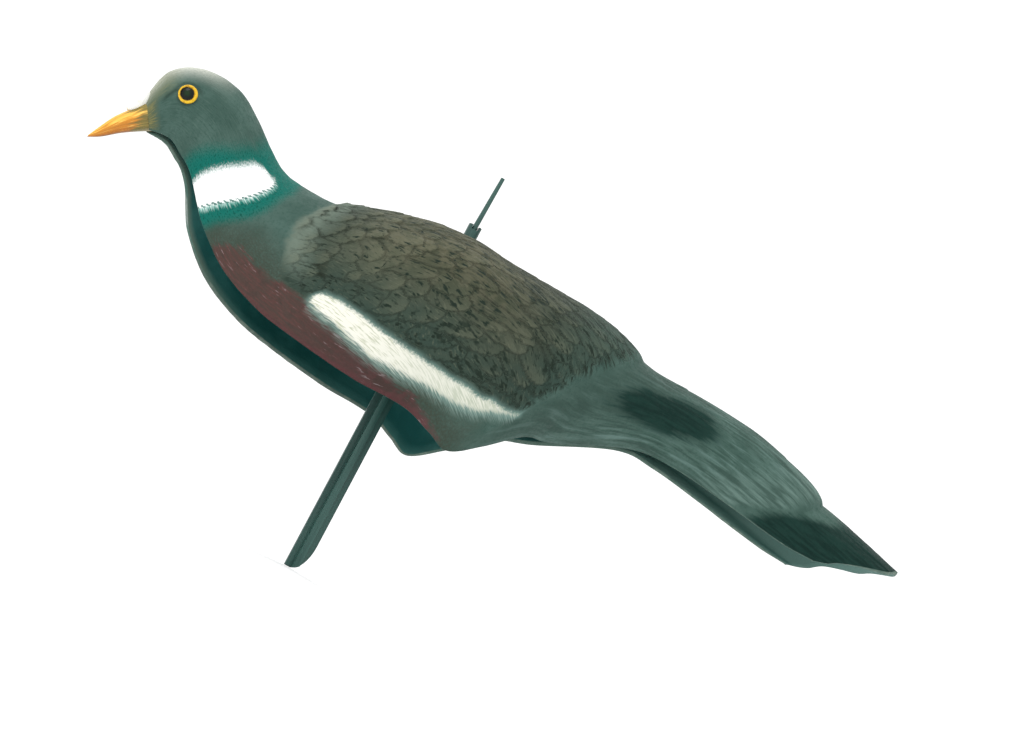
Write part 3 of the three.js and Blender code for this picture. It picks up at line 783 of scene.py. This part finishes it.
print("the skin's paint reads", len(area), "areas")

# %% Head, neck and body
def coat(below, above, amount):
    """A coat of colour over another, as thick as amount says."""
    tree = graph_of(below, above, amount)
    return add(tree, "Mix", {0: amount, 6: below, 7: above}, data_type="RGBA").outputs[2]


def coats(colour, *layers):
    """Coats laid one after the other, each with its colour and its thickness."""
    for above, amount in layers:
        colour = coat(colour, above, amount)
    return colour


hairy = fade(backward, 0.36, 0.30)
pale_end = times(fade(area["tail_dark"], -38, -16), area["rear"])
ray = times(area["beak_root"], fade(streak, 0.46, 0.62))
dusk = times(fade(area["breast"], -20, -2), fade(spray, 0.3, 0.6, 0.5, 1.0))
green_paint = coat(paint(8, 101, 90), paint(4, 72, 62), fade(spray, 0.50, 0.66))
body = coats(
    coat(paint(60, 85, 77), paint(72, 97, 89), fade(cloud, 0.35, 0.65)),
    (paint(50, 76, 68), fade(speck, 0.50, 0.68, 0.0, 0.35)),
    (paint(44, 68, 60), times(hairy, fade(streak, 0.53, 0.66, 0.0, 0.45))),
    (paint(90, 112, 102), times(hairy, fade(streak, 0.45, 0.33, 0.0, 0.30))),
    (paint(104, 130, 124), times(fade(long_streak, 0.50, 0.70, 0.0, 0.55), area["rear"])),
    (paint(46, 68, 61), times(fade(long_streak, 0.52, 0.36, 0.0, 0.7), area["rear"])),
    (paint(50, 68, 61), times(area["rump_front"], 0.5)),
    (paint(100, 124, 116), times(pale_end, fade(long_streak, 0.35, 0.65, 0.1, 0.7))),
    # the crown's pale cap, partly a painted highlight
    (paint(214, 216, 204), times(area["crown"], fade(spray, 0.3, 0.7, 0.6, 1.0))),
    (paint(116, 122, 95), times(area["forehead"], fade(streak, 0.3, 0.7, 0.15, 0.9))),
    # painted shade round the eye, and the dark stripe in front of it
    (paint(34, 52, 45), times(area["lore_and_eye_shade"], 0.65)),
    (paint(98, 100, 66), times(area["beak_root"], 0.65)),
    (paint(150, 138, 80), times(ray, 0.7)),
    (paint(58, 65, 55), times(dusk, 0.85)),
    (green_paint, fade(plus(area["green"], ragged(spray, 0.15)), 0.15, 1.05)))
print("head, neck and body:", len(tree.nodes), "nodes")

# %% Breast
rear_red = coat(paint(64, 50, 47), paint(82, 53, 53), fade(mottle, 0.45, 0.62))
red = coats(
    coat(paint(74, 60, 55), paint(86, 60, 56), fade(streak, 0.42, 0.62)),
    (rear_red, fade(backward, 0.43, 0.52, 0.0, 0.85)),
    (paint(60, 52, 48), fade(mottle, 0.54, 0.68, 0.0, 0.45)),
    (paint(92, 72, 70), fade(backward, 0.53, 0.58, 0.0, 0.5)),
    (paint(96, 50, 56), times(area["rim_line"], 0.4)))
rough_edge = plus(area["breast"], plus(ragged(streak, 1.3), ragged(mottle, 0.8)))
scratch = times(fade(streak, 0.60, 0.68), fade(area["breast"], -2, 1.5))
body = coats(
    body,
    (red, fade(rough_edge, -1.8, 1.8)),
    (paint(140, 128, 130), times(scratch, fade(area["breast"], 12, 4, 0.0, 0.6))))
print("with the breast:", len(tree.nodes), "nodes")

# %% Painted wings
earth = coat(paint(86, 85, 67), paint(68, 71, 54), fade(mottle, 0.38, 0.6))
pale_front = times(area["brown"], fade(backward, 0.52, 0.44, 0.0, 0.21))
# the hollows' painted shade, stronger at the front of the wing
deep = times(area["hollow"], fade(backward, 0.42, 0.52, 0.95, 0.3))
feather = coats(
    coat(paint(54, 67, 58), paint(62, 73, 62), fade(mottle, 0.4, 0.6)),
    (paint(44, 64, 57), times(area["teal"], 0.85)),
    (earth, area["brown"]),
    (paint(122, 127, 110), pale_front),
    (paint(42, 54, 46), fade(backward, 0.50, 0.68, 0.0, 0.3)),
    (paint(106, 120, 108), times(area["shoulder"], fade(mottle, 0.3, 0.6, 1.0, 0.8))),
    # painted highlight on the raised tips, with their paler edges
    (paint(108, 110, 90), times(area["tip"], 0.3)),
    (paint(104, 108, 90), fade(barb_hair, 0.56, 0.72, 0.0, 0.35)),
    (paint(62, 86, 77), fade(backward, 0.66, 0.76, 0.0, 0.5)),
    # painted shade in the hollows between the feathers
    (paint(42, 48, 37), times(deep, fade(cloud, 0.42, 0.58, 0.15, 1.0))),
    # painted shadow beside the feathers' tips
    (paint(28, 36, 28), times(area["tip_shadow"], fade(mottle, 0.46, 0.58, 0.0, 0.95))))
denser = plus(barb_streak, fade(backward, 0.43, 0.57, -0.01, 0.04))
stroke = maths("MAXIMUM", fade(denser, 0.55, 0.63), fade(barb_hair, 0.40, 0.30, 0.0, 0.6))
stroke = times(stroke, fade(mottle, 0.38, 0.54, 0.3, 1.0))
bare_front = plus(1.0, times(area["shoulder"], -0.75))
body = coats(
    body,
    (feather, fade(plus(area["wing"], ragged(mottle, 0.2)), 0.1, 0.9)),
    (paint(30, 42, 34), times(times(stroke, area["feathered"]), bare_front)))
print("with the wings:", len(tree.nodes), "nodes")

# %% White bar, with a soft upper edge and a frayed lower one
worn = times(fade(backward, 0.47, 0.64), fade(hatch, 0.40, 0.60, 0.25, 0.95))
cream = coats(
    coat(paint(236, 235, 223), paint(190, 194, 170), fade(hatch, 0.50, 0.66)),
    (paint(214, 215, 203), fade(backward, 0.46, 0.57, 0.0, 0.7)),
    (paint(176, 184, 166), worn))
halo = times(fade(area["bar_top"], -3.0, 0.5), fade(area["bar_low"], -3, 0))
fringe = times(fade(area["bar_low"], -5.5, 0.0), fade(area["bar_top"], 0, 1.5))
top_edge = fade(plus(area["bar_top"], ragged(spray, 0.5)), -0.7, 1.3)
low_edge = fade(plus(area["bar_low"], fade(hatch, 0.28, 0.72, -1.0, 1.0)), -1.0, 1.4)
body = coats(
    body,
    (paint(120, 150, 142), times(halo, 0.55)),
    (paint(128, 150, 142), times(fringe, fade(hatch, 0.40, 0.62, 0.15, 0.85))),
    (cream, times(top_edge, low_edge)))
print("with the white bar:", len(tree.nodes), "nodes")

# %% Neck patch, with a row of small dashes before its rear edge
DASH_HALF_PITCH = 0.95   # mm
front_edge = fade(plus(area["neck_patch"], fade(spray, 0.25, 0.75, -1.5, 1.5)), -2.4, 3.6)
rear_edge = fade(plus(area["patch_rear"], ragged(streak, 1.0)), 1.8, -2.4)
off_line = maths("ABSOLUTE", plus(area["dash_line"], ragged(spray, 0.3)), 0.0)
along_row = maths("PINGPONG", plus(area["girth"], ragged(streak, 0.5)), DASH_HALF_PITCH)
dashes = times(fade(off_line, 1.1, 0.55), fade(along_row, 0.35, 0.6))
behind_dashes = times(fade(area["dash_line"], -0.5, 1.6), fade(streak, 0.35, 0.60, 0.35, 1.0))
patch = coats(
    paint(246, 247, 246),
    (paint(104, 184, 168), behind_dashes),
    (paint(34, 96, 86), times(dashes, 0.9)))
body = coat(body, patch, times(front_edge, rear_edge))
print("with the neck patch:", len(tree.nodes), "nodes")

# %% Dark rump and tail, bare inside and cut edge
def colour_and_bumps(tree, shader, colour, height, distance):
    """Links the finished colour, and a height in units of distance that tips the surface."""
    bump = add(tree, "Bump", {"Height": height, "Distance": distance, "Strength": 1.0})
    tree.links.new(colour, shader.inputs["Base Color"])
    tree.links.new(bump.outputs["Normal"], shader.inputs["Normal"])


FEATHER_BUMP = -0.30 * MM
dark = coat(paint(14, 40, 35), paint(22, 50, 44), fade(long_streak, 0.4, 0.62))
plastic = coats(
    coat(paint(33, 91, 88), paint(49, 105, 101), fade(cloud, 0.35, 0.65)),
    # overspray, with painted light near the rim
    (paint(112, 124, 110), times(area["overspray_and_painted_light"], fade(spray, 0.35, 0.65, 0.5, 0.95))),
    # the tail's inside, lighter: partly overspray, partly painted light
    (paint(92, 118, 111), times(area["tail_inside"], 0.85)),
    # painted shadow in the tail's inner fold
    (paint(22, 66, 60), times(area["tail_fold_shadow"], 0.65)))
edge_paint = coat(paint(82, 104, 95), paint(106, 124, 114), fade(mottle, 0.45, 0.66))
body = coats(
    body,
    (dark, fade(plus(area["rump_spot"], ragged(long_streak, 2.0)), -1.0, 3.6)),
    (dark, fade(plus(area["tail_dark"], ragged(long_streak, 2.2)), -5.0, 5.0)),
    (plastic, area["inner"]),
    # the edge's own grey-green, and on the tail's outer border a painted highlight
    (edge_paint, times(area["cut"], 0.85)))
fine = plus(times(speck, 0.3), times(streak, 0.4))
height = plus(times(plus(barb_streak, times(barb_hair, 0.7)), area["feathered"]), fine)
colour_and_bumps(tree, shader, body, height, FEATHER_BUMP)
tree.links.new(fade(speck, 0.3, 0.7, 0.6, 0.8), shader.inputs["Roughness"])
bird.data.materials.append(painted)
print("the whole skin:", len(tree.nodes), "nodes")

# %% Drill the hole for the peg
HOLE_RADIUS, DRILL_LENGTH = 3.3 * MM, 80 * MM


def rework(mesh, change):
    """Opens a mesh for editing, makes one change to it and writes the outcome back."""
    work = bmesh.new()
    work.from_mesh(mesh)
    change(work)
    work.to_mesh(mesh)
    work.free()


def join_body(piece):
    """Turns all faces of a finished piece outwards, checks it and lets it ride on the body."""
    rework(piece.data, lambda work: bmesh.ops.recalc_face_normals(work, faces=work.faces))
    check_closed(piece)
    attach(piece, "root")


drill = put("drill", bpy.data.meshes.new("drill"))
rework(drill.data, lambda work: bmesh.ops.create_cone(
    work, cap_ends=True, segments=64, radius1=HOLE_RADIUS, radius2=HOLE_RADIUS, depth=DRILL_LENGTH,
    matrix=Matrix.Translation((PEG_AXIS, 0, BACK_TOP))))
cut_hole = bird.modifiers.new("peg hole", "BOOLEAN")
cut_hole.operation, cut_hole.object, cut_hole.solver = "DIFFERENCE", drill, "EXACT"
drilled = bpy.data.meshes.new_from_object(bird.evaluated_get(bpy.context.evaluated_depsgraph_get()))
bird.modifiers.clear()
bird.data = drilled
bpy.data.objects.remove(drill)
join_body(bird)
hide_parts("shell")
print("shell has", sum(len(p.vertices) - 2 for p in bird.data.polygons), "triangles")

# %% [markdown]
# ## Eyes, cere and beak
# The eye is a low glass-like dome inside a raised yellow ring, so it is a profile turned about the
# line that stands square on the skin. The cere is two soft white lobes. The beak is a row of ovals
# between an upper and a lower line, with the seam of the closed mouth pressed into its sides.

# %% The eye's profile, and a way to turn it
EYE_RADIUS, EYE_ROOT = 4.2 * MM, 0.8 * MM
r = np.linspace(1, 0, 26)
dome = 1.3 * np.sqrt(np.clip(1 - (r / 0.72) ** 2, 0, 1))
ring_swell = 0.8 * np.exp(-((r - 0.84) / 0.13) ** 2)
top = np.maximum(dome, ring_swell) - 0.25 * r ** 6
eye_profile = [(0, -MM), (0.6 * EYE_RADIUS, -MM), (EYE_RADIUS, -EYE_ROOT)]
eye_profile += list(zip(r * EYE_RADIUS, top * MM))


def circle(sides):
    """Even angles once round."""
    return np.linspace(0, 2 * np.pi, sides, endpoint=False)


def close_rings(rings, first_end, last_end):
    """Faces between rings of points, and a fan from a middle point over each end."""
    rows, sides = rings.shape[:2]
    at = np.arange(rows * sides).reshape(rows, sides)
    after = np.roll(at, -1, 1)
    quads = np.stack([at[:-1], after[:-1], after[1:], at[1:]], -1).reshape(-1, 4)
    foot = np.full(sides, rows * sides)
    caps = [np.stack([foot, after[0], at[0]], -1), np.stack([foot + 1, at[-1], after[-1]], -1)]
    return np.concatenate([rings.reshape(-1, 3), [first_end, last_end]]), [quads] + caps


def turned(profile, axis, middle, sides=64):
    """A profile of radius and height, turned about an axis."""
    radius, height = np.array(profile).T[..., None, None]
    angle = circle(sides)[:, None]
    side_a = np.cross(axis, [0.0, 0.0, 1.0])
    side_a /= np.linalg.norm(side_a)
    around = np.cos(angle) * side_a + np.sin(angle) * np.cross(axis, side_a)
    body = middle + radius * around + height * axis
    return close_rings(body[1:-1], body[0, 0], body[-1, 0])


print("the eye's profile has", len(eye_profile), "points and is", round(float(top.max()), 2), "mm high")

# %% Eye paint
eye_paint, tree, shader = new_material("eye_paint", 0.20, 0.18)
shader.inputs["Coat Weight"].default_value = 0.06
shader.inputs["Coat Roughness"].default_value = 0.05
wobble = grain(solid_place(tree), (900, 900, 900), 2)
from_pupil = read(tree, "from_pupil")
# the pupil is greener towards its middle: a painted green reflection
pupil = coat(paint(8, 14, 9), paint(20, 44, 20), fade(from_pupil, 2.2, 0.4))
yellow = coat(paint(232, 188, 44), paint(196, 148, 34), fade(wobble, 0.4, 0.7))
yellow = coat(paint(168, 128, 34), yellow, fade(from_pupil, 2.8, 3.5))
eye_colour = coats(
    pupil,
    (yellow, fade(plus(from_pupil, ragged(wobble, 0.15)), 2.8, 3.1)),
    (paint(48, 58, 46), fade(read(tree, "from_middle"), 4.05, 4.3)))
colour_and_bumps(tree, shader, eye_colour, wobble, 0.02 * MM)
print("eye paint:", len(tree.nodes), "nodes")

# %% Two eyes
PUPIL_SHIFT = 0.3 * MM   # the pupil looks a little forward
for name, sign in (("eye_left", -1), ("eye_right", 1)):
    u, side = np.array(EYE_AT[0]), np.array(sign * EYE_AT[1])
    axis, middle = skin_normal(u, side), skin(u, side)
    eye_points, eye_faces = turned(eye_profile, axis, middle)
    eye = make_mesh(name, eye_points, eye_faces)
    forward = skin(u - 0.01, side) - middle
    forward /= np.linalg.norm(forward)
    flat = eye_points - middle
    flat = flat - (flat @ axis)[:, None] * axis
    store(eye, "from_middle", np.linalg.norm(flat, axis=1) / MM)
    store(eye, "from_pupil", np.linalg.norm(flat - PUPIL_SHIFT * forward, axis=1) / MM)
    eye.data.materials.append(eye_paint)
    join_body(eye)

# %% Beak
BEAK_RINGS, BEAK_SIDES = 60, 64
SEAM_AT, SEAM_PRESS = -0.25, 0.06        # the closed mouth, as a sine, and how deep it is pressed in
NOSTRIL_AT, NOSTRIL_RISE = 0.17, 0.6 * MM
# shares of the length from the peg hole, x z, from the root to the tip
BEAK_UPPER = np.array([
    [-.3690, -.0380], [-.3815, -.0552], [-.3943, -.0725], [-.4032, -.0903], [-.4088, -.1028]])
BEAK_LOWER = np.array([
    [-.3490, -.0640], [-.3660, -.0745], [-.3810, -.0850], [-.3960, -.0975], [-.4088, -.1050]])
BEAK_HALF = np.array([.0210, .0134, .0090, .0055, .0015])


def oval_loft(centres, ups, halves, sides, press=0.0, power=1.0):
    """Rings about centres: up times a sine and half width times a cosine, which a power below 1
    makes squarer. press narrows them at the mouth's seam, a little below the middle."""
    angle = circle(sides)
    seam = 1 - press * np.exp(-((np.sin(angle) - SEAM_AT) / 0.10) ** 2)
    rings = centres[:, None] + ups[:, None] * np.sin(angle)[:, None]
    rings[..., 1] += halves[:, None] * np.sign(np.cos(angle)) * np.abs(np.cos(angle)) ** power * seam
    return close_rings(rings, centres[0], centres[-1])


def on_middle(xz):
    """A point of the middle plane, from shares of the length to metres."""
    return np.stack([xz[:, 0] * LENGTH + PEG_AXIS, 0 * xz[:, 0], xz[:, 1] * LENGTH + BACK_TOP], -1)


share = np.linspace(0, 1, BEAK_RINGS)
upper, lower = on_middle(smooth_row(BEAK_UPPER, share)), on_middle(smooth_row(BEAK_LOWER, share))
upper[:, 2] += NOSTRIL_RISE * np.exp(-((share - NOSTRIL_AT) / 0.045) ** 2)
beak_points, beak_faces = oval_loft((upper + lower) / 2, (upper - lower) / 2,
                                    smooth_row(BEAK_HALF, share) * LENGTH, BEAK_SIDES, SEAM_PRESS, 0.75)
beak = make_mesh("beak", beak_points, beak_faces)
along, around = np.meshgrid(share, circle(BEAK_SIDES), indexing="ij")
store(beak, "along", along)
store(beak, "up", np.sin(around))
store_vector(beak, "streaks", along * 26, np.sin(around) * 6, np.cos(around) * 3)
print("beak from", np.round(upper[0] / MM, 1), "to", np.round(upper[-1] / MM, 1), "mm")

# %% Beak paint
beak_paint, tree, shader = new_material("beak_paint", 0.42, 0.35)
streaks = grain(read(tree, "streaks", "Vector"), (0.10, 0.8, 0.8), 3, 0.6)
rise, along_beak = read(tree, "up"), read(tree, "along")
from_seam = maths("ABSOLUTE", plus(rise, -SEAM_AT), 0.0)
from_side = maths("ABSOLUTE", plus(rise, -0.1), 0.0)
root = plus(plus(along_beak, ragged(streaks, 0.11)), fade(from_side, 0.2, 0.8, 0.0, -0.09))
olive = coat(paint(106, 98, 48), paint(136, 122, 62), fade(streaks, 0.42, 0.60))
# the orange darkens underneath and along the lower edge, painted shade, and turns yellow with pale streaks
# along the top, a painted highlight
horn = coats(
    coat(paint(200, 128, 34), paint(172, 104, 34), fade(rise, -0.2, -0.9)),
    (paint(244, 186, 74), fade(plus(rise, ragged(streaks, 0.5)), 0.0, 0.7)),
    (paint(252, 214, 116), fade(streaks, 0.54, 0.66, 0.0, 0.6)),
    (paint(140, 88, 34), fade(from_seam, 0.10, 0.02, 0.0, 0.3)),
    (paint(108, 76, 36), fade(rise, -0.80, -0.97, 0.0, 0.6)),
    (olive, fade(root, 0.30, 0.12, 0.0, 0.97)))
colour_and_bumps(tree, shader, horn, streaks, -0.15 * MM)
beak.data.materials.append(beak_paint)
join_body(beak)

# %% Cere
CERE_MIDDLE, CERE_HALF = np.array([[-.3786, -.0456]]), np.array([.0150, .0085, .0085]) * LENGTH
CERE_OUT, CERE_TILT = 0.0045 * LENGTH, np.radians(62)
t = np.cos(np.linspace(0.1, np.pi - 0.1, 30))
width = np.sqrt(1 - t ** 2) * (1 + 0.18 * t)
slope = np.array([np.cos(CERE_TILT), 0, np.sin(CERE_TILT)])
square = np.array([-slope[2], 0, slope[0]])
lobes = []
for sign in (-1, 1):
    middle = on_middle(CERE_MIDDLE)[0] + np.array([0, sign * CERE_OUT, 0])
    centres = middle + t[:, None] * slope * CERE_HALF[0]
    lobes.append(oval_loft(centres, width[:, None] * square * CERE_HALF[2], width * CERE_HALF[1], 32))
first = len(lobes[0][0])
cere_faces = lobes[0][1] + [f + first for f in lobes[1][1]]
cere = make_mesh("cere", np.concatenate([p for p, _ in lobes]), cere_faces)
chalk, tree, shader = new_material("cere_paint", 0.6, 0.3)
powder = grain(solid_place(tree), (500, 500, 500), 3)
white = coat(paint(240, 240, 236), paint(226, 225, 214), fade(powder, 0.50, 0.72))
colour_and_bumps(tree, shader, white, powder, 0.2 * MM)
cere.data.materials.append(chalk)
join_body(cere)

# %% [markdown]
# ## The ground peg
# The peg is plain moulded plastic, and its solid already has every face. What it lacks is the
# small round that a mould leaves on each edge. So a copy of the solid has its loose corners joined
# and its flat faces made whole, and a bevel rounds the rest.

# %% Round the peg's edges
WELD, FLAT, PEG_ROUND, SHARP = 0.002 * MM, np.radians(1.0), 0.35 * MM, np.radians(28)


def make_whole(work):
    """Joins corners that lie together, then faces that lie in one plane."""
    bmesh.ops.remove_doubles(work, verts=work.verts, dist=WELD)
    bmesh.ops.dissolve_limit(work, angle_limit=FLAT, verts=work.verts, edges=work.edges)


peg_mesh = frame["nodes"]["peg"].data.copy()
rework(peg_mesh, make_whole)
peg_mesh.materials.clear()
peg = put("ground_peg", peg_mesh)
peg_mesh.shade_smooth()
rounding = peg.modifiers.new("edges", "BEVEL")
rounding.width, rounding.segments, rounding.limit_method = PEG_ROUND, 3, "ANGLE"
rounding.angle_limit = SHARP
rounding.harden_normals = True
print("the peg has", len(peg_mesh.polygons), "faces before its edges are rounded")

# %% Peg plastic
peg_plastic, tree, shader = new_material("peg_plastic", 0.42, 0.4)
solid = solid_place(tree)
drawn = grain(solid, (260, 260, 14), 3)
scuff = grain(solid, (900, 900, 60), 3, 0.6, 3)
peg_colour = coats(
    paint(28, 66, 60),
    (paint(52, 88, 81), fade(drawn, 0.35, 0.7)),
    (paint(78, 108, 100), fade(scuff, 0.6, 0.75, 0.0, 0.45)))
colour_and_bumps(tree, shader, peg_colour, scuff, 0.08 * MM)
tree.links.new(fade(scuff, 0.4, 0.7, 0.36, 0.6), shader.inputs["Roughness"])
peg_mesh.materials.append(peg_plastic)
join_body(peg)
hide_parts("peg")

# %% [markdown]
# ## Floor and light
# The photograph is a cut-out on white, lit softly from above. A white world and a white floor give
# that. The rolled camera looks from just under the level of the peg's foot, so the floor falls
# away from the foot by a few degrees on all sides, like a very flat cone, and hides nothing.

# %% Floor
FLOOR_RADIUS, FLOOR_FALL, FLOOR_SIDES, FLOOR_GAP = 6.0, 0.085, 96, 0.2 * MM
angle = circle(FLOOR_SIDES)
edge_points = FLOOR_RADIUS * np.stack([np.cos(angle), np.sin(angle), 0 * angle - FLOOR_FALL], 1)
floor_points = np.concatenate([[[0, 0, -FLOOR_GAP]], edge_points])
rim = 1 + np.arange(FLOOR_SIDES)
floor = make_mesh("floor", floor_points, [np.stack([0 * rim, rim, np.roll(rim, -1)], -1)])
floor_paint, tree, shader = new_material("floor_paint", 0.9, 0.1)
shader.inputs["Base Color"].default_value = (0.99, 0.99, 0.99, 1)
floor.data.materials.append(floor_paint)
print("the floor falls by", round(float(np.degrees(np.arctan(FLOOR_FALL))), 1), "degrees")

# %% World and lamps
WORLD_STRENGTH = 1.18
world = bpy.data.worlds.new("white")
bpy.context.scene.world = world
world.use_nodes = True
background = world.node_tree.nodes["Background"]
background.inputs["Color"].default_value = (1, 1, 1, 1)
background.inputs["Strength"].default_value = WORLD_STRENGTH
bpy.context.scene.view_settings.view_transform = "Standard"


def soft_box(name, place, size, watts):
    """A square lamp of a given size that looks at the middle of the decoy."""
    light = bpy.data.lights.new(name, "AREA")
    light.shape, light.size, light.energy = "SQUARE", size, watts
    lamp = put(name, light)
    lamp.location = place
    lamp.rotation_euler = (Vector(AIM) - Vector(place)).to_track_quat("-Z", "Y").to_euler()
    print(name, "with", watts, "watts")


soft_box("key_light", (-1.1, -0.7, 1.6), 0.9, 9)
soft_box("back_light", (0.3, 1.0, 1.6), 0.8, 4)
